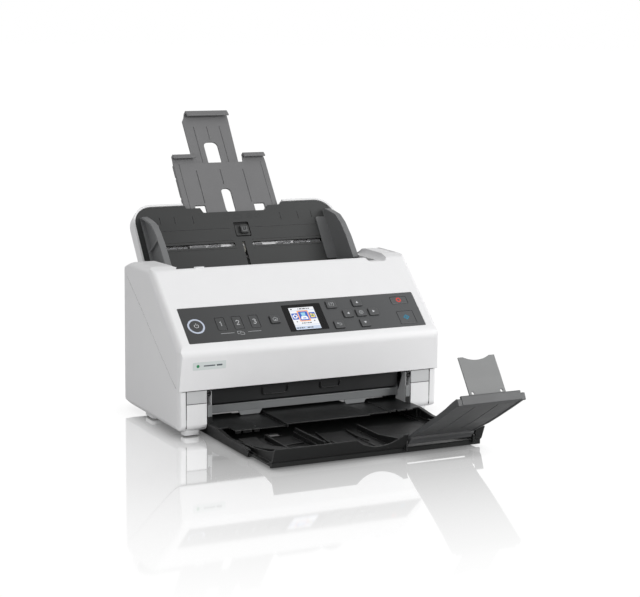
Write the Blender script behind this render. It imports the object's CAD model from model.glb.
"""Desktop paper-handling machine: looks, printed marks, small fittings and studio.

The machine stands on z = 0 with its front towards -Y and its left at -X. Design sizes are
millimetres in the modelling frame; world_point() turns them into the scene's metres.
"""
import bpy
import bmesh
import math
from mathutils import Matrix, Vector


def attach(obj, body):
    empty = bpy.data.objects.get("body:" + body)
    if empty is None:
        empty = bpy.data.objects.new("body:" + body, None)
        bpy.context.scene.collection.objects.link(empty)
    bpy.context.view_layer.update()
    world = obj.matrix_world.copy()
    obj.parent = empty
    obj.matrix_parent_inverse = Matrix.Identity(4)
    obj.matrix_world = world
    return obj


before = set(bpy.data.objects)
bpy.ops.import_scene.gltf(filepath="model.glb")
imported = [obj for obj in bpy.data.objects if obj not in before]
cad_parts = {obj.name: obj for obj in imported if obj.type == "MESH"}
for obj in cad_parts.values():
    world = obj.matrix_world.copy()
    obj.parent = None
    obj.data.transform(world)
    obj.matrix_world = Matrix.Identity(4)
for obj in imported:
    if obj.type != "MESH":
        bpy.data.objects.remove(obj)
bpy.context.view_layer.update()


SCENE = bpy.context.scene
SIDES = ((-1, "left"), (1, "right"))

# ------------------------------------------------------------------ frames (mm in, metres out)
Y_SHIFT = 22.6156        # modelling frame to scene, along y
TRAY_TILT = math.radians(54.0)
FRONT_FOOT_Z = 47.5      # lower edge of the leaning front face
FRONT_LEAN = math.atan2(2.9, 88.3 - FRONT_FOOT_Z)
PILLAR_FACE_Y = 3.2
FASCIA_TOP = (13.0, 45.6)        # y, z
FASCIA_SLOPE = 1.4 / 17.4        # y gained per mm down


def world_point(x, y, z):
    return Vector((x / 1000.0, (y - Y_SHIFT) / 1000.0, z / 1000.0))


def tilted_frame(origin_y, origin_z, tilt):
    """Frame on a sloping face: x, distance up the slope, height off the face."""
    def point(x, up, out):
        return world_point(x, origin_y + up * math.cos(tilt) - out * math.sin(tilt),
                           origin_z + up * math.sin(tilt) + out * math.cos(tilt))
    return point


panel_point = tilted_frame(3.6, 94.1, math.radians(41.825))
tray_point = tilted_frame(197.3, 201.8, TRAY_TILT)


# The next three take x, height and distance out of the face.
def front_point(x, z, out):
    y = -(z - FRONT_FOOT_Z) * math.tan(FRONT_LEAN)
    return world_point(x, y - out * math.cos(FRONT_LEAN), z - out * math.sin(FRONT_LEAN))


def pillar_point(x, z, out):
    return world_point(x, PILLAR_FACE_Y - out, z)


def fascia_point(x, z, out):
    return world_point(x, FASCIA_TOP[0] + (FASCIA_TOP[1] - z) * FASCIA_SLOPE - out, z)


# ------------------------------------------------------------------ node helpers
def linear(rgb):
    """sRGB 0-255 to linear RGBA."""
    parts = [value / 255.0 for value in rgb]
    return tuple(p / 12.92 if p <= 0.04045 else ((p + 0.055) / 1.055) ** 2.4
                 for p in parts) + (1.0,)


class Graph:
    """Node tree of one material or world. Any input may be a value or a socket."""

    def __init__(self, owner, output="ShaderNodeOutputMaterial"):
        owner.use_nodes = True
        self.owner = owner
        self.tree = owner.node_tree
        self.tree.nodes.clear()
        self.output = self.tree.nodes.new(output)

    def put(self, socket, value):
        if isinstance(value, bpy.types.NodeSocket):
            self.tree.links.new(value, socket)
        else:
            socket.default_value = value

    def add(self, kind, inputs=None, **settings):
        node = self.tree.nodes.new(kind)
        for key, value in settings.items():
            setattr(node, key, value)
        for key, value in (inputs or {}).items():
            self.put(node.inputs[key], value)
        return node

    def coords(self, space="Object"):
        return self.add("ShaderNodeTexCoord").outputs[space]

    def split(self, vector):
        return self.add("ShaderNodeSeparateXYZ", {0: vector}).outputs

    def noise(self, vector, scale, detail=2.0, rough=0.5):
        return self.add("ShaderNodeTexNoise", {
            "Scale": scale, "Detail": detail, "Roughness": rough, "Vector": vector}).outputs["Fac"]

    def remap(self, value, from_low, from_high, to_low, to_high):
        return self.add("ShaderNodeMapRange", {
            "From Min": from_low, "From Max": from_high, "To Min": to_low, "To Max": to_high,
            "Value": value}).outputs["Result"]

    def spread(self, noise, low, high):
        """Stretch the useful middle of a noise to low..high."""
        return self.remap(noise, 0.3, 0.7, low, high)

    def mix(self, factor, a, b):
        return self.add("ShaderNodeMix", {"Factor": factor, 6: a, 7: b},
                        data_type="RGBA", blend_type="MIX").outputs[2]

    def mix_shader(self, factor, a, b):
        return self.add("ShaderNodeMixShader", {0: factor, 1: a, 2: b}).outputs[0]

    def math(self, operation, a, b=0.0):
        return self.add("ShaderNodeMath", {0: a, 1: b}, operation=operation).outputs[0]

    def vector_math(self, operation, a, b=None):
        inputs = {0: a} if b is None else {0: a, 1: b}
        node = self.add("ShaderNodeVectorMath", inputs, operation=operation)
        return node.outputs["Value" if operation in ("DOT_PRODUCT", "LENGTH") else "Vector"]

    def all_of(self, first, *others):
        for other in others:
            first = self.math("MULTIPLY", first, other)
        return first

    def clamp(self, value):
        return self.math("MINIMUM", self.math("MAXIMUM", value, 0.0), 1.0)

    def brightness(self, color, factor):
        return self.add("ShaderNodeHueSaturation",
                        {"Color": color, "Value": factor}).outputs["Color"]

    def bump(self, inputs):
        return self.add("ShaderNodeBump", inputs).outputs[0]

    def surface(self, shader):
        self.put(self.output.inputs["Surface"], shader)
        return self.owner

    def principled(self, inputs):
        return self.surface(self.add("ShaderNodeBsdfPrincipled", inputs).outputs[0])


def material_graph(name):
    return Graph(bpy.data.materials.new(name))


# ------------------------------------------------------------------ patterns over a base colour
# Each takes the graph, object coordinates (metres) and colour, and returns the new colour.
TRAY_HALF_WIDTH = 0.120
PANEL_HALF_WIDTH = 0.134
# Region of the tray painted dark, in the tray's own frame (metres)
POCKET_TOP, POCKET_BOTTOM = -0.00052, -0.01003
POCKET_HALF_WIDTH = 0.1190
POCKET_FOOT = -0.0805
# Region of the steel painted black: in front of y, between two heights (metres)
PIN_END_Y = -0.0080
PIN_END_Z = (0.0300, 0.0560)
SOCKET_Y = 0.1360        # the board is black behind this


def drift_along_x(g, x, color, half_width, low, high):
    return g.brightness(color, g.remap(x, -half_width, half_width, low, high))


def panel_drift(low, high):
    def pattern(g, coords, color):
        return drift_along_x(g, g.split(coords)[0], color, PANEL_HALF_WIDTH, low, high)
    return pattern


def tray_pocket(low, high):
    """Brightness drift along x, and near-black inside the tray's pocket and slots."""
    def pattern(g, coords, color):
        x, y, z = g.split(coords)
        color = drift_along_x(g, x, color, TRAY_HALF_WIDTH, low, high)
        origin = tray_point(0, 0, 0)

        def along(y_part, z_part):
            return g.math("ADD",
                          g.math("MULTIPLY", g.math("SUBTRACT", y, origin.y), y_part),
                          g.math("MULTIPLY", g.math("SUBTRACT", z, origin.z), z_part))

        out = along(-math.sin(TRAY_TILT), math.cos(TRAY_TILT))
        up = along(math.cos(TRAY_TILT), math.sin(TRAY_TILT))
        inside = g.all_of(g.math("LESS_THAN", out, POCKET_TOP),
                          g.math("GREATER_THAN", out, POCKET_BOTTOM),
                          g.math("LESS_THAN", g.math("ABSOLUTE", x), POCKET_HALF_WIDTH),
                          g.math("GREATER_THAN", up, POCKET_FOOT))
        return g.mix(inside, color, linear((11, 11, 12)))
    return pattern


def blackened_pin_ends(g, coords, color):
    _, y, z = g.split(coords)
    end = g.all_of(g.math("LESS_THAN", y, PIN_END_Y),
                   g.math("GREATER_THAN", z, PIN_END_Z[0]),
                   g.math("LESS_THAN", z, PIN_END_Z[1]))
    return g.mix(end, color, linear((9, 9, 10)))


def board_pattern(g, coords, color):
    """Solder mask with traces and pads, and black sockets at the rear."""
    black, white = (0, 0, 0, 1), (1, 1, 1, 1)
    traces = g.add("ShaderNodeTexBrick", {
        "Scale": 180.0, "Mortar Size": 0.03, "Color1": black, "Color2": black,
        "Mortar": white, "Vector": coords}).outputs["Color"]
    color = g.mix(traces, color, linear((70, 150, 95)))
    cells = g.add("ShaderNodeTexVoronoi", {"Scale": 260.0, "Vector": coords})
    pads = g.remap(cells.outputs["Distance"], 0.14, 0.10, 0.0, 1.0)
    color = g.mix(pads, color, linear((200, 190, 150)))
    at_rear = g.math("GREATER_THAN", g.split(coords)[1], SOCKET_Y)
    return g.mix(at_rear, color, linear((16, 16, 17)))


# ------------------------------------------------------------------ material kinds
def plastic(name, rgb, rough, grain, mottle, speck, wear, edge_radius, bump,
            specular=0.5, metallic=0.0, pattern=None):
    """Moulded plastic: eroded grain, faint mottling, rubbed edges and broken-up gloss.

    grain and edge_radius are mm; wear above 0 whitens the edges, below 0 darkens them.
    """
    g = material_graph(name)
    coords = g.coords()
    cloud = g.noise(coords, scale=42.0, detail=3.0, rough=0.6)
    fine = g.noise(coords, scale=1000.0 / grain, rough=0.6)
    value = g.math("ADD", g.spread(cloud, 1.0 - mottle, 1.0 + mottle),
                   g.spread(fine, -speck, speck))
    color = g.brightness(linear(rgb), value)
    if pattern:
        color = pattern(g, coords, color)
    rounded = g.add("ShaderNodeBevel", {"Radius": edge_radius / 1000.0}, samples=4).outputs[0]
    if wear:
        flat = g.add("ShaderNodeNewGeometry").outputs["Normal"]
        # an edge is where the rounded normal leaves the flat one
        rim = g.remap(g.vector_math("DOT_PRODUCT", rounded, flat), 0.995, 0.80, 0.0, 1.0)
        patches = g.noise(coords, scale=330.0)
        rubbed = g.math("MULTIPLY", rim, g.remap(patches, 0.35, 0.65, 0.35, 1.0))
        tone = 1.0 if wear > 0 else 0.0
        color = g.mix(g.math("MULTIPLY", rubbed, abs(wear)), color, (tone, tone, tone, 1.0))
    return g.principled({
        "Base Color": color,
        "Roughness": g.math("ADD", g.spread(fine, rough - 0.06, rough + 0.06),
                            g.spread(cloud, -0.04, 0.04)),
        "Metallic": metallic,
        "Specular IOR Level": specular,
        "Normal": g.bump({"Strength": bump, "Distance": 0.00006, "Height": fine,
                          "Normal": rounded}),
    })


def brushed(name, rgb, rough, axis=0, streaking=0.08, stretch=40.0, pattern=None):
    """Drawn or turned metal, streaked along an axis (0 to 2)."""
    g = material_graph(name)
    coords = g.coords()
    scale = [1400.0, 1400.0, 1400.0]
    scale[axis] /= stretch
    stretched = g.add("ShaderNodeMapping", {"Scale": scale, "Vector": coords}).outputs[0]
    streak = g.noise(stretched, scale=1.0, detail=3.0, rough=0.6)
    cloud = g.noise(coords, scale=60.0)
    value = g.math("ADD", g.spread(streak, 1.0 - streaking, 1.0 + streaking),
                   g.spread(cloud, -0.05, 0.05))
    color = g.brightness(linear(rgb), value)
    if pattern:
        color = pattern(g, coords, color)
    return g.principled({
        "Base Color": color,
        "Roughness": g.spread(streak, rough - 0.07, rough + 0.09),
        "Metallic": 1.0,
        "Normal": g.bump({"Strength": 0.12, "Distance": 0.00004, "Height": streak}),
    })


def lit(name, rgb, strength, cell_size, contrast):
    """Small lit surface with a fine cell pattern; cell_size is mm."""
    g = material_graph(name)
    cells = g.add("ShaderNodeTexVoronoi", {"Scale": 1000.0 / cell_size, "Vector": g.coords()})
    value = g.remap(cells.outputs["Distance"], 0.0, 0.9, 1.0 + contrast, 1.0 - contrast)
    return g.principled({
        "Emission Color": g.brightness(linear(rgb), value),
        "Emission Strength": strength,
        "Base Color": (0.02, 0.02, 0.02, 1),
        "Roughness": 0.18,
    })


def printed(name, rgb, rough=0.42):
    """Screen-printed ink with slightly uneven coverage."""
    g = material_graph(name)
    fine = g.noise(g.coords(), scale=5200.0, rough=0.6)
    return g.principled({
        "Base Color": g.brightness(linear(rgb), g.spread(fine, 0.93, 1.05)),
        "Roughness": g.spread(fine, rough - 0.06, rough + 0.08),
    })


def tinted_glass(name, rgb, rough=0.03):
    g = material_graph(name)
    cloud = g.noise(g.coords(), scale=160.0, detail=3.0, rough=0.6)
    return g.principled({
        "Base Color": g.brightness(linear(rgb), g.spread(cloud, 0.9, 1.1)),
        "Roughness": g.remap(cloud, 0.4, 0.75, rough, rough + 0.10),
        "Coat Weight": 0.6,
        "IOR": 1.52,
    })


# ------------------------------------------------------------------ materials
# name, colour, then roughness, grain, mottle, speck, wear, edge radius, bump; then extras
PLASTICS = (
    ("shell_white", (233, 233, 234), (0.40, 0.5, 0.008, 0.010, 0.10, 0.5, 0.16),
     {"specular": 0.45}),
    ("pillar_grey", (196, 197, 198), (0.42, 0.5, 0.010, 0.012, 0.14, 0.5, 0.16), {}),
    ("frame_black", (30, 31, 32), (0.50, 0.6, 0.10, 0.08, 0.05, 0.45, 0.30), {}),
    ("tray_dark", (56, 57, 57), (0.52, 0.45, 0.03, 0.05, 0.10, 0.35, 0.35),
     {"pattern": tray_pocket(low=0.72, high=1.22)}),
    ("tray_mid", (113, 113, 114), (0.50, 0.45, 0.02, 0.04, 0.10, 0.35, 0.32), {}),
    ("guide_grey", (114, 115, 116), (0.46, 0.45, 0.03, 0.03, 0.14, 0.6, 0.25),
     {"pattern": tray_pocket(low=0.97, high=1.03)}),
    ("exit_black", (19, 20, 20), (0.44, 0.5, 0.06, 0.08, 0.17, 0.6, 0.30), {"specular": 0.4}),
    ("stopper_grey", (78, 79, 80), (0.48, 0.5, 0.03, 0.04, 0.10, 0.5, 0.28), {}),
    ("flap_grey", (131, 132, 132), (0.48, 0.5, 0.02, 0.04, 0.10, 0.35, 0.25), {}),
    ("bar_silver", (134, 136, 137), (0.34, 0.35, 0.02, 0.03, 0.18, 0.4, 0.18),
     {"metallic": 0.15}),
    ("panel_dark", (66, 67, 68), (0.40, 0.35, 0.015, 0.03, -0.10, 0.3, 0.18),
     {"pattern": panel_drift(low=0.68, high=1.62)}),
    ("key_dark", (68, 69, 70), (0.36, 0.35, 0.02, 0.03, 0.18, 0.35, 0.15),
     {"pattern": panel_drift(low=0.70, high=1.62)}),
    ("bezel_black", (8, 8, 9), (0.30, 0.4, 0.04, 0.02, 0.12, 0.3, 0.05), {"specular": 0.25}),
    ("rubber_foot", (42, 42, 42), (0.80, 0.7, 0.08, 0.10, 0.0, 0.45, 0.5), {}),
    ("roller_rubber", (88, 88, 90), (0.72, 0.6, 0.05, 0.08, 0.0, 0.45, 0.5), {}),
    ("gear_plastic", (222, 219, 207), (0.42, 0.8, 0.03, 0.02, 0.10, 0.2, 0.12), {}),
    ("board_green", (26, 84, 50), (0.32, 0.6, 0.06, 0.04, 0.0, 0.45, 0.15),
     {"pattern": board_pattern}),
    ("idler_white", (226, 226, 222), (0.42, 0.7, 0.03, 0.02, 0.0, 0.45, 0.15), {}),
    ("label_stock", (214, 220, 219), (0.30, 0.3, 0.015, 0.01, 0.1, 0.2, 0.06), {}),
    ("label_silver", (196, 198, 200), (0.34, 0.3, 0.02, 0.02, 0.0, 0.45, 0.06),
     {"metallic": 0.2}),
    ("seam_dark", (40, 40, 41), (0.70, 0.4, 0.06, 0.05, 0.0, 0.45, 0.2), {}),
)
# name, colour, emission strength, cell size, cell contrast
LIT = (
    ("screen", (246, 248, 252), 0.93, 0.22, 0.03),
    ("light_ring", (205, 214, 232), 0.80, 0.9, 0.10),
    ("ui_blue", (34, 92, 200), 0.9, 0.2, 0.03),
    ("ui_light", (150, 214, 240), 0.9, 0.2, 0.03),
    ("ui_orange", (255, 166, 84), 0.95, 0.2, 0.03),
    ("ui_green", (40, 150, 80), 0.9, 0.2, 0.03),
    ("ui_sand", (244, 214, 130), 0.9, 0.2, 0.03),
    ("ui_pale", (206, 220, 242), 0.9, 0.2, 0.03),
    ("ui_ink", (70, 74, 84), 0.8, 0.2, 0.03),
    ("ui_white", (252, 253, 255), 0.95, 0.2, 0.03),
)
INKS = {
    "print_white": (206, 208, 210),
    "print_grey": (168, 170, 172),
    "print_red": (216, 66, 54),
    "print_teal": (28, 132, 164),
    "print_dark": (48, 49, 50),
    "print_key": (118, 119, 120),
    "label_mark": (92, 98, 102),
    "label_green": (46, 140, 88),
}


def make_materials():
    made = {}
    for name, rgb, finish, extras in PLASTICS:
        made[name] = plastic(name, rgb, *finish, **extras)
    for name, *look in LIT:
        made[name] = lit(name, *look)
    for name, rgb in INKS.items():
        made[name] = printed(name, rgb)
    made["steel"] = brushed("steel", (196, 198, 201), rough=0.28, pattern=blackened_pin_ends)
    made["motor_steel"] = brushed("motor_steel", (168, 170, 174), rough=0.34, axis=1)
    made["polished"] = brushed("polished", (150, 150, 152), rough=0.20, axis=1,
                               streaking=0.25, stretch=3.0)
    made["glass"] = tinted_glass("glass", (52, 60, 62))
    return made


MATERIALS = make_materials()


def dress_cad_pieces():
    """Swap each CAD material for the made one of the same name."""
    default = MATERIALS["frame_black"]
    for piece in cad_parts.values():
        for slot in piece.material_slots:
            key = slot.material.name.split(".")[0] if slot.material else "frame_black"
            slot.material = MATERIALS.get(key, default)


# ------------------------------------------------------------------ mesh helpers
def link_mesh(name, mesh, materials):
    data = bpy.data.meshes.new(name)
    mesh.to_mesh(data)
    mesh.free()
    for material in materials:
        data.materials.append(material)
    made = bpy.data.objects.new(name, data)
    SCENE.collection.objects.link(made)
    return made


def add_part(name, mesh, materials, body, bevel=0.0, bevel_angle=40):
    """Link a closed mesh to its body. bevel is mm; bevel_angle None keeps the default."""
    bmesh.ops.recalc_face_normals(mesh, faces=mesh.faces[:])
    part = link_mesh(name, mesh, [MATERIALS[key] for key in materials])
    if bevel:
        edges = part.modifiers.new("edges", "BEVEL")
        edges.width = bevel / 1000.0
        edges.segments = 2
        edges.limit_method = "ANGLE"
        if bevel_angle:
            edges.angle_limit = math.radians(bevel_angle)
    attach(part, body)


def wall(mesh, low, high):
    """Quads joining two loops of vertices."""
    count = len(low)
    return [mesh.faces.new((low[i], low[(i + 1) % count], high[(i + 1) % count], high[i]))
            for i in range(count)]


def loft(mesh, rows, closed=False):
    """Skin a run of vertex loops, capped at both ends unless closed."""
    faces = []
    for low, high in zip(rows, rows[1:] + rows[:1] if closed else rows[1:]):
        faces += wall(mesh, low, high)
    if not closed:
        faces.append(mesh.faces.new(rows[0][::-1]))
        faces.append(mesh.faces.new(rows[-1]))
    return faces


class Piece:
    """Prisms on a local frame, gathered into one mesh.

    layer is the (bottom, top) height of a prism off the frame's face.
    """

    def __init__(self, name, point, body, slot=None, layer=None, material=None, centre=(0, 0)):
        self.name, self.point, self.body, self.slot = name, point, body, slot
        self.layer, self.material, self.centre = layer, material, centre
        self.mesh = bmesh.new()
        self.materials = []

    def move_to(self, x, y):
        self.centre = (x, y)
        return self

    def placed(self, points):
        return [(self.centre[0] + x, self.centre[1] + y) for x, y in points]

    def paint(self, faces, material):
        material = material or self.material
        if material not in self.materials:
            self.materials.append(material)
        for face in faces:
            face.material_index = self.materials.index(material)
        return self

    def poly(self, outline, material=None, layer=None):
        """Filled outline."""
        low, high = ([self.mesh.verts.new(self.point(x, y, level))
                      for x, y in self.placed(outline)] for level in layer or self.layer)
        faces = [self.mesh.faces.new(high), self.mesh.faces.new(low[::-1])]
        return self.paint(faces + wall(self.mesh, low, high), material)

    def stroke(self, line, width, material=None, layer=None, closed=False):
        """Line of even width with mitred corners."""
        bottom, top = layer or self.layer
        line = self.placed(line)
        last = len(line) - 1
        rows = []
        for i, here in enumerate(line):
            pairs = []
            if closed or i > 0:
                pairs.append((line[i - 1], here))
            if closed or i < last:
                pairs.append((here, line[(i + 1) % len(line)]))
            normals = []
            for start, end in pairs:
                length = math.hypot(end[0] - start[0], end[1] - start[1])
                normals.append((-(end[1] - start[1]) / length, (end[0] - start[0]) / length))
            normal_x = sum(n[0] for n in normals) / len(normals)
            normal_y = sum(n[1] for n in normals) / len(normals)
            # the floor on this keeps sharp corners from spiking
            miter = max(normal_x * normal_x + normal_y * normal_y, 0.30)
            dx, dy = normal_x / miter * width / 2, normal_y / miter * width / 2
            corners = ((1, bottom), (-1, bottom), (-1, top), (1, top))
            rows.append([self.mesh.verts.new(
                self.point(here[0] + side * dx, here[1] + side * dy, level))
                for side, level in corners])
        return self.paint(loft(self.mesh, rows, closed), material)

    def done(self, bevel=0.0):
        add_part(self.name, self.mesh, self.materials, self.body, bevel)


def arc(cx, cy, radius, start, end, steps):
    """Points on an arc, angles in degrees."""
    angles = [math.radians(start + (end - start) * i / steps) for i in range(steps + 1)]
    return [(cx + radius * math.cos(a), cy + radius * math.sin(a)) for a in angles]


def ring(cx, cy, radius, steps):
    return arc(cx, cy, radius, 0, 360, steps)[:-1]


def rect(x0, x1, y0, y1, radius=0.0):
    if radius <= 0:
        return [(x0, y0), (x1, y0), (x1, y1), (x0, y1)]
    outline = []
    for cx, cy, start in ((x1 - radius, y0 + radius, -90), (x1 - radius, y1 - radius, 0),
                          (x0 + radius, y1 - radius, 90), (x0 + radius, y0 + radius, 180)):
        outline += arc(cx, cy, radius, start, start + 90, 5)
    return outline


def smooth_line(points, steps=5):
    """Catmull-Rom curve through the points."""
    curve = []
    for i in range(len(points) - 1):
        near = (points[max(i - 1, 0)], points[i], points[i + 1],
                points[min(i + 2, len(points) - 1)])
        for k in range(steps):
            t = k / steps
            curve.append(tuple(
                0.5 * (2 * b + (-a + c) * t + (2 * a - 5 * b + 4 * c - d) * t * t
                       + (-a + 3 * b - 3 * c + d) * t ** 3)
                for a, b, c, d in zip(*near)))
    return curve + [points[-1]]


def mirrored(side, inner, outer):
    """x range on the left (-1) or right (1), in rising order."""
    return sorted((side * inner, side * outer))


# ------------------------------------------------------------------ key legends
SUNK_INK = (0.03, 0.09)          # layer on a flush key
RAISED_INK = (1.48, 1.54)        # layer on a raised key
POWER_INK = (0.48, 0.54)

# x0, x1, lower edge, upper edge on the panel
KEY_SPANS = {
    "1": (-98.4, -88.9, 14.3, 29.7),
    "2": (-80.0, -70.4, 14.3, 29.9),
    "3": (-61.4, -51.9, 14.3, 29.9),
    "home": (-39.2, -28.8, 17.4, 26.7),
    "help": (29.4, 40.4, 30.9, 39.8),
    "back": (29.6, 40.4, 4.3, 13.5),
    "up": (59.6, 70.2, 31.0, 40.0),
    "left": (44.6, 55.2, 17.6, 26.6),
    "right": (74.4, 85.0, 17.7, 26.6),
    "down": (59.8, 70.3, 4.1, 13.3),
    "ok": (59.6, 70.4, 17.7, 26.6),
}
LEGEND_CENTRES = {key: ((x0 + x1) / 2, (y0 + y1) / 2)
                  for key, (x0, x1, y0, y1) in KEY_SPANS.items()}
LEGEND_CENTRES.update(power=(-120.5, 21.2), stop=(115.2, 35.4), start=(115.6, 12.2))

DIGIT_LINES = {
    "1": [[(-1.0, 1.7), (0.25, 2.75), (0.25, -2.75)]],
    "2": [smooth_line([(-1.55, 1.35), (-1.2, 2.3), (0.0, 2.8), (1.3, 2.2), (1.5, 1.1),
                       (0.7, -0.3)]) + [(-1.55, -2.6), (1.7, -2.6)]],
    "3": [smooth_line([(-1.5, 2.1), (-0.4, 2.8), (0.9, 2.4), (1.2, 1.4), (0.6, 0.45),
                       (-0.4, 0.2)]),
          smooth_line([(-0.4, 0.2), (0.9, -0.1), (1.55, -1.2), (0.9, -2.4), (-0.3, -2.8),
                       (-1.6, -2.1)])],
}
ARROW = [(-1.5, -1.2), (1.5, -1.2), (0.0, 1.45)]
ARROW_TURNS = {"up": 0, "left": 90, "right": -90, "down": 180}
SYMBOL_LINE = 0.5
BOLD_LINE = 0.55
DIGIT_LINE = 0.62


def legend(key, layer, ink, prefix="legend_"):
    return Piece(prefix + key, panel_point, "b_key_" + key, layer=layer, material=ink,
                 centre=LEGEND_CENTRES[key])


def power_and_digit_legends():
    power = legend("power", POWER_INK, "print_white")
    power.stroke(arc(0, 0, 2.25, 125, 415, 28), BOLD_LINE)
    power.stroke([(0, 0.4), (0, 3.2)], BOLD_LINE)
    power.done()
    for digit, lines in DIGIT_LINES.items():
        piece = legend(digit, SUNK_INK, "print_white", prefix="legend_key_")
        for line in lines:
            piece.stroke(line, DIGIT_LINE)
        piece.done()


def home_legend():
    home = legend("home", RAISED_INK, "print_grey")
    home.stroke([(-2.9, -0.2), (0, 2.3), (2.9, -0.2)], SYMBOL_LINE)
    home.stroke([(-1.9, -0.3), (-1.9, -2.3), (1.9, -2.3), (1.9, -0.3)], SYMBOL_LINE)
    home.poly(rect(-0.6, 0.6, -2.0, -0.6))
    home.done()


def help_legend():
    """Question mark between two arcs."""
    piece = legend("help", RAISED_INK, "print_grey")
    piece.stroke(arc(0, 0, 2.7, 125, 235, 12), SYMBOL_LINE)
    piece.stroke(arc(0, 0, 2.7, -55, 55, 12), SYMBOL_LINE)
    piece.stroke(smooth_line([(-0.9, 1.1), (0.0, 1.9), (0.9, 1.1), (0.2, 0.1), (0.0, -0.7)]),
                 SYMBOL_LINE)
    piece.poly(ring(0, -1.75, 0.38, 14))
    piece.done()


def back_legend():
    back = legend("back", RAISED_INK, "print_grey")
    back.stroke([(-1.2, 1.2)] + arc(1.3, 0.0, 1.2, 90, -90, 10) + [(-0.6, -1.2)], SYMBOL_LINE)
    back.poly([(-3.0, 1.2), (-1.2, 2.3), (-1.2, 0.1)])
    back.done()


def arrow_and_ok_legends():
    for key, degrees in ARROW_TURNS.items():
        cos, sin = math.cos(math.radians(degrees)), math.sin(math.radians(degrees))
        arrow = legend(key, RAISED_INK, "print_white")
        arrow.poly([(x * cos - y * sin, x * sin + y * cos) for x, y in ARROW])
        arrow.done()
    confirm = legend("ok", RAISED_INK, "print_grey")
    confirm.stroke(ring(0, 0, 2.1, 26), BOLD_LINE, closed=True)
    confirm.poly(ring(0, 0, 0.75, 16))
    confirm.done()


def stop_and_start_legends():
    stop = legend("stop", SUNK_INK, "print_red")
    stop.stroke(arc(0, 0, 2.35, 22.5, 382.5, 8)[:-1], 1.35, closed=True)
    stop.done()
    start = legend("start", SUNK_INK, "print_teal")
    start.stroke([(0, -2.6), (2.9, 0), (0, 2.6), (-2.9, 0)], 1.0, closed=True)
    start.poly(rect(-0.45, 0.45, -0.9, 0.9))
    start.poly(rect(-0.65, 0.85, -6.95, -6.25, 0.3), "print_dark")
    start.done()


def panel_print():
    """Two rules and a two-page symbol under the digit keys."""
    ink = Piece("panel_print", panel_point, "cover", layer=(-0.17, -0.10),
                material="print_grey")
    for x0, x1 in ((-97.4, -82.9), (-67.6, -53.2)):
        ink.stroke([(x0, 9.9), (x1, 9.9)], 0.5)
    ink.move_to(-76.4, 8.3).stroke(
        [(-1.0, -0.2), (-2.7, -0.2), (-2.7, 2.9), (1.3, 2.9), (1.3, 2.2)], 0.45)
    ink.move_to(-75.9, 8.5).stroke(
        [(-0.4, -1.6), (-0.4, 1.5), (2.7, 1.5), (3.7, 0.6), (3.7, -1.6)], 0.45, closed=True)
    ink.done()


# ------------------------------------------------------------------ display picture
# Stacked layers, from the back forwards
UI_BAR = (-0.36, -0.34)
UI_TILE = (-0.36, -0.33)
UI_FRAME = (-0.36, -0.32)
UI_ICON = (-0.34, -0.30)
UI_TOP = (-0.31, -0.27)
# x ranges of the blocks that stand for words
STATUS_WORDS = ((-12.6, -10.6), (-4.0, -3.2), (-2.4, 0.6), (1.2, 4.4), (5.2, 6.6), (7.4, 9.0))
CAPTION_WORDS = ((-5.6, -3.9), (-3.4, -1.2), (-0.7, 0.3), (0.8, 3.0), (3.4, 5.8))
FOOTER_WORDS = ((-13.2, -11.0), (-10.4, -8.6), (-8.0, -5.8), (-5.0, -4.2), (-1.2, 1.6),
                (2.0, 3.2), (3.6, 5.4))


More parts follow.
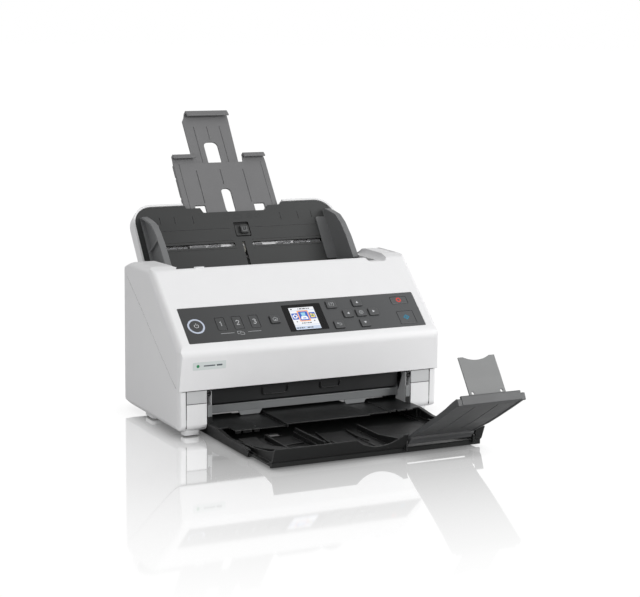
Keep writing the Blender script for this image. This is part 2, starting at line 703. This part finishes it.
def display_picture():
    """Menu of three tiles with a status row above and a caption and footer below."""
    picture = Piece("display_picture", panel_point, "cover", "screen", layer=UI_TILE)

    def words(ranges, y0, y1, layer=UI_TILE):
        for x0, x1 in ranges:
            picture.poly(rect(x0, x1, y0, y1, 0.3), "ui_ink", layer)

    picture.poly(rect(-14.1, 13.9, 31.3, 31.9), "ui_pale")
    picture.poly(rect(-14.1, 13.9, 12.6, 13.1), "ui_pale")
    words(STATUS_WORDS, 32.9, 34.3)
    picture.poly(rect(-13.4, -6.6, 20.2, 28.3, 0.5), "ui_blue")
    picture.poly(rect(6.4, 13.2, 20.2, 28.3, 0.5), "ui_blue")
    picture.poly(rect(-5.2, 5.0, 18.6, 30.0, 0.6), "ui_blue")
    picture.stroke(rect(-5.9, 5.7, 17.9, 30.7, 0.6), 1.1, "ui_orange", UI_FRAME, closed=True)

    # left tile: toothed ring
    picture.move_to(-10.0, 24.2)
    picture.stroke(ring(0, 0, 1.9, 22), 1.0, "ui_white", UI_ICON, closed=True)
    for k in range(8):
        angle = math.radians(45 * k)
        picture.stroke([(r * math.cos(angle), r * math.sin(angle)) for r in (2.3, 3.1)],
                       0.8, "ui_white", UI_ICON)
    picture.move_to(0, 0)

    # right tile: folder with an arrow
    picture.poly([(7.6, 21.6), (12.4, 21.6), (12.4, 26.2), (9.8, 26.2), (9.2, 27.0),
                  (7.6, 27.0)], "ui_sand", UI_ICON)
    picture.poly([(8.2, 23.6), (9.8, 23.6), (9.8, 22.7), (11.4, 24.2), (9.8, 25.7),
                  (9.8, 24.8), (8.2, 24.8)], "ui_green", UI_TOP)

    # middle tile: machine with a sheet above
    picture.poly([(-3.8, 19.9), (3.6, 19.9), (4.0, 21.2), (2.8, 24.0), (-3.0, 24.0),
                  (-4.2, 21.2)], "ui_white", UI_ICON)
    picture.poly([(-2.2, 24.2), (2.0, 24.2), (2.4, 28.6), (-2.6, 28.6)], "ui_light", UI_ICON)
    picture.poly(rect(-1.9, 1.7, 21.0, 22.0, 0.3), "ui_blue", UI_TOP)

    # small arrowheads, then caption and footer
    picture.poly([(-11.2, 17.4), (-9.4, 18.3), (-9.4, 16.5)], "ui_ink")
    picture.poly([(11.0, 17.4), (9.2, 18.3), (9.2, 16.5)], "ui_ink")
    words(CAPTION_WORDS, 14.6, 15.7)
    picture.poly(rect(-14.1, 13.9, 7.2, 11.2), "ui_pale", UI_BAR)
    words(FOOTER_WORDS, 8.6, 9.9, UI_ICON)
    picture.done()


def front_label():
    label = Piece("front_label", front_point, "cover", layer=(0.10, 0.15))
    label.poly(rect(-133.0, -97.5, 68.2, 76.4, 0.7), "label_stock", (-0.06, 0.12))
    label.poly(rect(-121.5, -109.0, 71.6, 72.9, 0.5), "label_mark")
    label.poly(rect(-107.6, -101.4, 71.4, 73.1, 0.5), "label_mark")
    label.poly(ring(-127.6, 72.3, 1.6, 20), "label_green")
    label.done(bevel=0.05)


# ------------------------------------------------------------------ feed tray
SPRING_RANGES = (        # x0, x1
    (-86.5, -79.0), (-77.4, -72.6), (-70.6, -66.0), (-61.0, -44.0), (-40.6, -26.5),
    (14.7, 23.2), (41.5, 46.6), (48.4, 58.2), (62.4, 67.0), (69.4, 74.4), (77.0, 81.4))
# Cycled along the row, so that neighbours differ
SPRING_TILTS = (0.5, -0.6, 0.35, -0.2)
SPRING_INSETS = ((0.0, 0.3), (0.4, 0.0), (0.2, 0.4))     # lower edge, upper edge


def tray_slot_springs():
    """Polished spring pieces seen through the tray's slots."""
    springs = Piece("tray_slot_springs", tray_point, "feed_tray", "steel", material="polished")
    for i, (x0, x1) in enumerate(SPRING_RANGES):
        tilt = SPRING_TILTS[i % 4]
        lower_inset, upper_inset = SPRING_INSETS[i % 3]
        lower, upper = -46.4 + lower_inset, -43.5 - upper_inset
        cut = min(0.8, (x1 - x0) * 0.3)
        springs.poly([(x0, lower), (x1 - cut * 0.4, lower + 0.1 * tilt), (x1, upper - 0.5),
                      (x1 - cut, upper), (x0 + cut * 0.6, upper - 0.2 * tilt)],
                     layer=(-2.6, -2.25 + 0.1 * tilt))
    springs.done(bevel=0.12)


def selector_mark():
    mark = Piece("selector_mark", tray_point, "selector", "tray_dark", layer=(2.98, 3.10),
                 material="print_key")
    mark.stroke([(1.4, -25.2), (1.4, -30.2), (6.5, -30.2), (6.5, -25.2)], 0.8)
    mark.stroke([(3.95, -24.6), (3.95, -28.2)], 0.7)
    mark.done()


def tray_symbols():
    """Row of faint paper symbols: page, wide page with arrow, two circles."""
    line, row = 0.45, -10.6
    ink = Piece("tray_symbols", tray_point, "feed_tray", "tray_dark", layer=(-0.03, 0.03),
                material="print_dark")
    ink.move_to(-12.0, row)
    ink.stroke([(-2.0, -3.0), (2.0, -3.0), (2.0, 1.6), (0.6, 3.0), (-2.0, 3.0)], line,
               closed=True)
    ink.move_to(1.2, row)
    ink.stroke(rect(-4.4, 4.4, -2.4, 2.2), line, closed=True)
    ink.poly([(-1.2, -4.9), (1.2, -4.9), (0.0, -3.5)])
    ink.move_to(15.2, row)
    ink.stroke(ring(0, 0, 3.0, 26), line, closed=True)
    ink.poly(ring(0, 0, 1.0, 14))
    ink.move_to(24.8, row)
    ink.stroke(ring(0, 0, 3.0, 26), line, closed=True)
    ink.stroke([(-2.0, -2.0), (2.0, 2.0)], line, layer=(-0.03, 0.04))
    ink.move_to(0, 0).poly(ring(10.6, -16.6, 0.45, 12))
    ink.done()


# ------------------------------------------------------------------ gaskets in the seams
# Middle of the housing's side seam: y, z
SEAM_MIDDLE = ((1.2, 47.25), (9.0, 51.9), (20.0, 58.8), (71.0, 94.3), (97.0, 113.6),
               (147.4, 148.15))
SEAM_SIDE_YS = (9.0, 14.0, 20.0, 45.0, 71.0, 84.0, 97.0, 122.0, 140.0)
SEAM_FRONT_Y, SEAM_FRONT_Z = 1.2, 47.2
SEAM_INNER_X = 116.2
CORNER_X = 141.5         # centre of the housing's rounded front corner
CORNER_RADIUS = 6.15
CORNER_STEPS = 12
GASKET_HALF_HEIGHT = 0.46
GASKET_SINK, GASKET_PROUD = -1.0, 0.10   # reach along the outward direction


def seam_height(y):
    for (y0, z0), (y1, z1) in zip(SEAM_MIDDLE, SEAM_MIDDLE[1:]):
        if y <= y1:
            return z0 + (z1 - z0) * (y - y0) / (y1 - y0)


def seam_gasket(side, side_name):
    """Thin band along the front, round the corner and back along the side."""
    corner_y = SEAM_FRONT_Y + CORNER_RADIUS
    # x, y, z, then the outward direction in x and y
    path = [(side * x, SEAM_FRONT_Y, SEAM_FRONT_Z, 0.0, -1.0) for x in (SEAM_INNER_X, CORNER_X)]
    for k in range(1, CORNER_STEPS + 1):
        angle = math.radians(90.0 * k / CORNER_STEPS)
        x = CORNER_X + CORNER_RADIUS * math.sin(angle)
        y = corner_y - CORNER_RADIUS * math.cos(angle)
        path.append((side * x, y, seam_height(y), side * math.sin(angle), -math.cos(angle)))
    for y in SEAM_SIDE_YS:
        path.append((side * (CORNER_X + CORNER_RADIUS), y, seam_height(y), side, 0.0))

    mesh = bmesh.new()
    half = GASKET_HALF_HEIGHT
    section = ((GASKET_SINK, -half), (GASKET_PROUD, -half), (GASKET_PROUD, half),
               (GASKET_SINK, half))
    rows = [[mesh.verts.new(world_point(x + out_x * reach, y + out_y * reach, z + rise))
             for reach, rise in section] for x, y, z, out_x, out_y in path]
    loft(mesh, rows)
    add_part("seam_gasket_" + side_name, mesh, ["seam_dark"], "base")


def pillar_gasket(side, side_name):
    gasket = Piece("pillar_gasket_" + side_name, pillar_point, "base", "frame_black",
                   material="seam_dark")
    gasket.poly(rect(*mirrored(side, 138.3, 139.1), 9.2, 46.6), layer=(-0.2, 1.5))
    gasket.poly(rect(*mirrored(side, 116.0, 138.3), 33.25, 33.85), layer=(0.2, 1.5))
    gasket.done()


# ------------------------------------------------------------------ inner sides of the pillars
CHEEK_XS = (110.8, 111.42)
CHEEK_PROFILE = (        # y, z
    (PILLAR_FACE_Y, 9.6), (PILLAR_FACE_Y, 45.4), (9.2, 45.4), (12.0, 38.0), (18.6, 24.3),
    (24.0, 19.6), (24.0, 9.6))
END_XS = (110.7, 115.5)  # slot and bar ends


def pillar_cheek(side, side_name):
    """Pale plate on the inner side of a front pillar."""
    mesh = bmesh.new()
    inner, outer = ([mesh.verts.new(world_point(side * x, y, z)) for y, z in CHEEK_PROFILE]
                    for x in CHEEK_XS)
    mesh.faces.new(inner)
    mesh.faces.new(outer[::-1])
    wall(mesh, inner, outer)
    add_part("pillar_cheek_" + side_name, mesh, ["pillar_grey"], "base",
             bevel=0.2, bevel_angle=None)


def pillar_ends(side, side_name):
    """End plates of the slot and, above it, of the bar."""
    x0, x1 = mirrored(side, *END_XS)
    slot_end = Piece("slot_end_" + side_name, pillar_point, "base", "exit_black",
                     layer=(0.65, 1.0), material="exit_black")
    slot_end.poly(rect(x0, x1, 9.8, 19.1, 0.4)).done(bevel=0.12)
    bar_end = Piece("bar_end_" + side_name, pillar_point, "base", "bar_silver",
                    layer=(0.65, 1.25), material="bar_silver")
    bar_end.poly(rect(x0, x1, 19.3, 31.2, 0.5)).done(bevel=0.2)


# ------------------------------------------------------------------ exit tray and fascia
DECK_PLATES = (          # x0, x1, y0, y1, corner radius, (bottom, top)
    (-103.2, -77.2, -37.6, -21.0, 0.8, (12.0, 13.05)),
    (-76.9, -46.9, -35.4, -23.6, 0.8, (11.2, 12.25)),
    (-46.5, 46.5, -38.8, -25.0, 1.0, (13.75, 14.95)),
    (-47.0, -45.7, -38.4, -25.0, 0.3, (11.2, 14.6)),
    (-103.0, -97.6, -38.4, -36.8, 0.3, (9.9, 12.95)),
    (-94.6, -85.6, -38.4, -36.8, 0.3, (9.9, 12.95)),
    (-82.6, -77.4, -38.4, -36.8, 0.3, (9.9, 12.95)),
)
# Plan outlines of the ledge and its step, x and y, from the back forwards
LEDGE_OUTER = ((-106.3, -52.0), (-106.3, -70.0), (-104.6, -84.0), (-99.0, -95.0),
               (-90.0, -102.0), (-76.0, -106.0))
LEDGE_INNER = ((-86.4, -52.0), (-90.6, -66.0), (-91.2, -80.0), (-87.0, -90.0), (-80.6, -95.6))
STEP_OUTER = ((-86.0, -52.0), (-90.2, -66.0), (-90.8, -80.0), (-86.8, -89.4))
STEP_INNER = ((-78.6, -52.0), (-83.4, -66.0), (-84.6, -80.0), (-81.4, -91.0))
TALL_RIB = ((-44.4, -51.0), (-44.4, -88.0), (-43.9, -104.0), (-42.6, -113.0))
LOW_RIBS = (
    ((-22.0, -51.0), (-24.0, -66.0), (-27.0, -84.0), (-28.0, -98.0)),
    ((11.6, -51.0), (9.6, -66.0), (9.0, -84.0), (12.0, -100.0)),
)
# side, x0, x1, bottom height
ROLLER_COVERS = (("left", -50.0, -22.0, 34.0), ("right", 15.6, 38.0, 35.0))
COVER_TOP_Z = 41.4
COVER_RADIUS = 3.0


def exit_piece(name, body, point=world_point, layer=None):
    return Piece(name, point, body, "exit_black", layer=layer, material="exit_black")


def deck_front_edge():
    deck = exit_piece("deck_front_edge", "exit_tray")
    for *sides, radius, layer in DECK_PLATES:
        deck.poly(rect(*sides, radius), layer=layer)
    deck.done(bevel=0.25)


def tray_ledges():
    """Curved ledge at the left of the extension and the lower step inside it."""
    for name, outer, inner, layer, bevel in (
            ("tray_ledge", LEDGE_OUTER, LEDGE_INNER, (4.25, 8.6), 0.7),
            ("tray_ledge_step", STEP_OUTER, STEP_INNER, (4.25, 6.4), 0.6)):
        outline = smooth_line(outer, 6) + smooth_line(inner, 6)[::-1]
        exit_piece(name, "exit_tray_extension", layer=layer).poly(outline).done(bevel=bevel)


def tray_ribs():
    ribs = exit_piece("tray_tall_rib", "exit_tray_extension")
    ribs.stroke(TALL_RIB, 1.5, layer=(4.2, 13.3))
    for line in LOW_RIBS:
        ribs.stroke(smooth_line(line), 1.0, layer=(4.2, 6.6))
    ribs.done(bevel=0.3)


def exit_roller_covers():
    """U-shaped rims on the exit fascia."""
    radius = COVER_RADIUS
    for side_name, x0, x1, bottom in ROLLER_COVERS:
        rim = ([(x0, COVER_TOP_Z)] + arc(x0 + radius, bottom + radius, radius, 180, 270, 6)
               + arc(x1 - radius, bottom + radius, radius, -90, 0, 6) + [(x1, COVER_TOP_Z)])
        cover = exit_piece("exit_roller_cover_" + side_name, "cover", fascia_point,
                           layer=(-0.05, 1.5))
        cover.stroke(rim, 1.3).done(bevel=0.2)


# ------------------------------------------------------------------ studio (metres)
MIRROR = 0.66                            # strongest mirror share, next to the machine
MIRROR_REACH = 0.50                      # distance over which the mirror fades out
FOOTPRINT_SHIFT = (0.0, -0.010, 0.0)     # added to centre the footprint
FOOTPRINT_HALF = (0.140, 0.120, 0.0)
FLOOR_ALBEDO = 0.62
WHITE = (1, 1, 1, 1)


def floor_material():
    """White sheet to the camera, with a mirror image that fades away from the machine."""
    g = material_graph("studio_floor")
    coords = g.coords()
    from_centre = g.vector_math("ABSOLUTE", g.vector_math("ADD", coords, FOOTPRINT_SHIFT))
    outside = g.vector_math("MAXIMUM", g.vector_math("SUBTRACT", from_centre, FOOTPRINT_HALF),
                            (0.0, 0.0, 0.0))
    nearness = g.remap(g.vector_math("LENGTH", outside), 0.0, MIRROR_REACH, 1.0, 0.0)
    mirror_share = g.math("MULTIPLY", g.math("POWER", nearness, 2.0), MIRROR)
    # contact shadow from ambient occlusion
    contact = g.add("ShaderNodeAmbientOcclusion", {"Distance": 0.035}, samples=6)
    sheet = g.add("ShaderNodeEmission", {
        "Color": WHITE, "Strength": g.remap(contact.outputs["AO"], 0.0, 0.85, 0.30, 1.02)})
    gloss = g.add("ShaderNodeBsdfGlossy", {
        "Color": WHITE, "Roughness": g.spread(g.noise(coords, scale=9.0), 0.040, 0.055)})
    seen = g.mix_shader(mirror_share, sheet.outputs[0], gloss.outputs[0])
    matt = g.add("ShaderNodeBsdfDiffuse",
                 {"Color": (FLOOR_ALBEDO, FLOOR_ALBEDO, FLOOR_ALBEDO, 1)})
    camera_ray = g.add("ShaderNodeLightPath").outputs["Is Camera Ray"]
    return g.surface(g.mix_shader(camera_ray, matt.outputs[0], seen))


def studio_floor():
    mesh = bmesh.new()
    bmesh.ops.create_circle(mesh, cap_ends=True, radius=14.0, segments=96)
    floor = link_mesh("studio_floor", mesh, [floor_material()])
    floor.location = (0, 0, -0.0004)


AMBIENT = 0.56
AMBIENT_PER_Z = -0.12    # brighter below
AMBIENT_PER_X = 0.06     # brighter to the right
AMBIENT_FLOOR = 0.08


def studio_world():
    """Softly graded light with a white sheet low behind; plain white to the camera."""
    world = bpy.data.worlds.new("studio")
    SCENE.world = world
    g = Graph(world, output="ShaderNodeOutputWorld")
    x, y, z = g.split(g.coords("Generated"))
    ambient = g.math("ADD",
                     g.math("ADD", g.math("MULTIPLY", z, AMBIENT_PER_Z), AMBIENT),
                     g.math("MULTIPLY", x, AMBIENT_PER_X))
    ambient = g.math("MAXIMUM", ambient, AMBIENT_FLOOR)
    low = g.clamp(g.math("MULTIPLY", g.math("SUBTRACT", 0.50, z), 8.0))
    behind = g.clamp(g.math("MULTIPLY", g.math("SUBTRACT", y, 0.25), 5.0))
    sheet = g.math("MULTIPLY", low, behind)
    strength = g.math("ADD",
                      g.math("MULTIPLY", ambient, g.math("SUBTRACT", 1.0, sheet)),
                      g.math("MULTIPLY", sheet, 1.02))
    light, backdrop = (
        g.add("ShaderNodeBackground", {"Color": WHITE, "Strength": level}).outputs[0]
        for level in (strength, 1.0))
    camera_ray = g.add("ShaderNodeLightPath").outputs["Is Camera Ray"]
    g.surface(g.mix_shader(g.math("MAXIMUM", camera_ray, 0.0), light, backdrop))


def area_light(name, place, aim, size, power):
    lamp = bpy.data.lights.new(name, "AREA")
    lamp.energy = power
    lamp.shape = "RECTANGLE"
    lamp.size, lamp.size_y = size
    holder = bpy.data.objects.new(name, lamp)
    SCENE.collection.objects.link(holder)
    holder.location = place
    look = Vector(aim) - Vector(place)
    holder.rotation_euler = look.to_track_quat("-Z", "Y").to_euler()


def studio_lights():
    area_light("key", place=(1.7, -1.9, 1.05), aim=(0, 0, 0.1), size=(1.4, 1.2), power=44.0)
    area_light("fill", place=(-1.7, -1.4, 0.55), aim=(0, 0, 0.06), size=(1.0, 0.8), power=7.0)
    area_light("top", place=(0.2, 0.1, 2.2), aim=(0, 0, 0.1), size=(1.8, 1.6), power=5.0)


CAMERA_PLACE = (-0.789974, -1.590593, 0.430903)
CAMERA_AZIMUTH = math.radians(-26.992)   # from straight in front, towards +X
CAMERA_ELEVATION = math.radians(10.214)
CAMERA_ROLL = math.radians(0.712)


def studio_camera():
    lens = bpy.data.cameras.new("camera")
    camera = bpy.data.objects.new("camera", lens)
    SCENE.collection.objects.link(camera)
    back = Vector((math.sin(CAMERA_AZIMUTH) * math.cos(CAMERA_ELEVATION),
                   -math.cos(CAMERA_AZIMUTH) * math.cos(CAMERA_ELEVATION),
                   math.sin(CAMERA_ELEVATION)))
    forward = -back
    level_right = forward.cross(Vector((0, 0, 1))).normalized()
    level_up = level_right.cross(forward)
    cos, sin = math.cos(CAMERA_ROLL), math.sin(CAMERA_ROLL)
    right = cos * level_right + sin * level_up
    up = -sin * level_right + cos * level_up
    rows = [tuple(row) for row in zip(right, up, back, CAMERA_PLACE)]
    camera.matrix_world = Matrix(rows + [(0, 0, 0, 1)])
    lens.sensor_width = 36.0
    lens.lens = 98.996
    lens.shift_x = -0.00187
    lens.shift_y = 0.02592
    lens.clip_start = 0.05
    lens.clip_end = 60.0
    SCENE.camera = camera


# ------------------------------------------------------------------ build
SCENE.view_settings.view_transform = "Standard"
SCENE.view_settings.look = "None"
dress_cad_pieces()

power_and_digit_legends()
home_legend()
help_legend()
back_legend()
arrow_and_ok_legends()
stop_and_start_legends()
panel_print()
display_picture()
front_label()

tray_slot_springs()
selector_mark()
tray_symbols()

for side, side_name in SIDES:
    seam_gasket(side, side_name)
    pillar_gasket(side, side_name)
for side, side_name in SIDES:
    pillar_cheek(side, side_name)
    pillar_ends(side, side_name)

deck_front_edge()
tray_ledges()
tray_ribs()
exit_roller_covers()

studio_floor()
studio_world()
studio_lights()
studio_camera()
